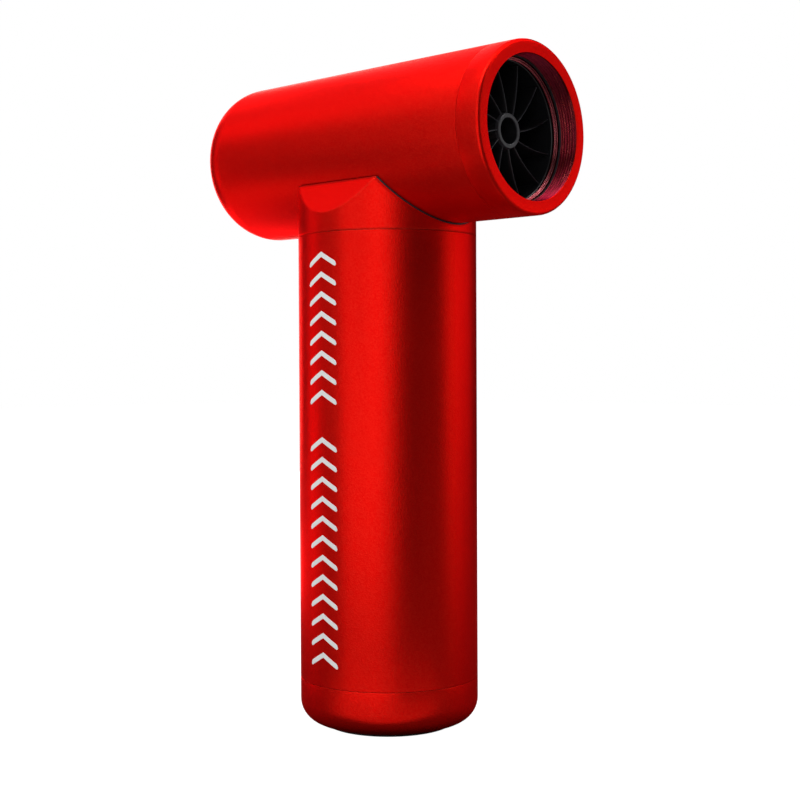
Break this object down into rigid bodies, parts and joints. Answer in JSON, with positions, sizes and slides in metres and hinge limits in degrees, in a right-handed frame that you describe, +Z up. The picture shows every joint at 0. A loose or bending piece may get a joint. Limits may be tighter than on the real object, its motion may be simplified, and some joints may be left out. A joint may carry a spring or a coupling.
{
  "type": "handheld turbo dryer",
  "caption": "T-shaped cordless turbo dryer: round upright handle, level round head with a threaded outlet mouth, guide vanes and impeller.",
  "frame": {"origin": "centre of the rubber pad's underside, on the handle's axis, on the floor", "axes": "+Z up along the handle, +X the way the air leaves the mouth, +Y to the left of the air stream"},
  "size_m": [0.0985, 0.045, 0.1657],
  "materials": {
    "red_aluminium": "bead-blasted, red anodised, satin",
    "seal_rubber": "smooth silicone",
    "grille_plastic": "fine moulded texture",
    "duct_plastic": "moulded, slightly shiny",
    "shroud_plastic": "moulded",
    "damper_rubber": "soft moulded silicone",
    "motor_can": "turned",
    "core_steel": "stacked laminations",
    "copper": "enamelled copper wire",
    "steel": "ground",
    "magnet": "nickel plated",
    "sleeve_steel": "ground",
    "impeller_aluminium": "milled",
    "screw_steel": "black oxide",
    "pad_rubber": "matt",
    "cell_wrap": "shrink wrap",
    "frame_plastic": "moulded",
    "nickel": "rolled nickel",
    "panel_plastic": "moulded, satin black",
    "trim_aluminium": "turned and polished",
    "button_rubber": "moulded",
    "switch_plastic": "moulded",
    "plunger_plastic": "moulded",
    "light_plastic": "milky, polished face",
    "led": "clear epoxy",
    "port_steel": "stamped",
    "circuit_board": "solder mask",
    "chip": "epoxy",
    "capacitor": "sleeved can",
    "wire_silicone": "silicone insulation"
  },
  "bodies": {
    "housing": {"head_shell": "red_aluminium", "front_collar": "red_aluminium", "mouth_seal": "seal_rubber", "intake_grille": "grille_plastic", "vane_housing": "duct_plastic", "inlet_shroud": "shroud_plastic", "front_damper": "damper_rubber", "rear_damper": "damper_rubber", "motor_can": "motor_can", "stator_core": "core_steel", "stator_coils": "copper", "bearing_outer_rings": "steel", "bearing_balls": "steel", "preload_spring": "steel", "neck": "red_aluminium", "neck_gasket": "seal_rubber", "neck_screws": "screw_steel", "handle_tube": "red_aluminium", "base_cap": "red_aluminium", "base_pad": "pad_rubber", "base_screws": "screw_steel", "upper_cell_frame": "frame_plastic", "lower_cell_frame": "frame_plastic", "cell_links_upper": "nickel", "cell_links_lower": "nickel", "battery_leads": "wire_silicone", "control_panel": "panel_plastic", "button_trim": "trim_aluminium", "tact_switch": "switch_plastic", "light_guide": "light_plastic", "status_leds": "led", "charge_port": "port_steel", "port_tongue": "chip", "control_board": "circuit_board", "board_screws": "screw_steel", "driver_chips": "chip", "capacitor": "capacitor", "motor_leads": "wire_silicone", "battery_cell_1": "cell_wrap", "battery_cell_2": "cell_wrap", "battery_cell_3": "cell_wrap"},
    "rotor": {"impeller": "impeller_aluminium", "impeller_nut": "screw_steel", "motor_shaft": "steel", "rotor_magnet": "magnet", "magnet_sleeve": "sleeve_steel", "bearing_inner_rings": "steel"},
    "power_button": {"power_button": "button_rubber", "switch_plunger": "plunger_plastic"}
  },
  "joints": [
    {"name": "impeller_spin", "type": "hinge", "parent": "housing", "child": "rotor", "pos_m": [0, 0, 0.1454], "axis": [1, 0, 0], "continuous": true},
    {"name": "button_press", "type": "slide", "parent": "housing", "child": "power_button", "axis": [1, 0, 0], "range_m": [0, 0.0008], "stiffness_N_per_m": 400, "springref_m": -0.002}
  ]
}
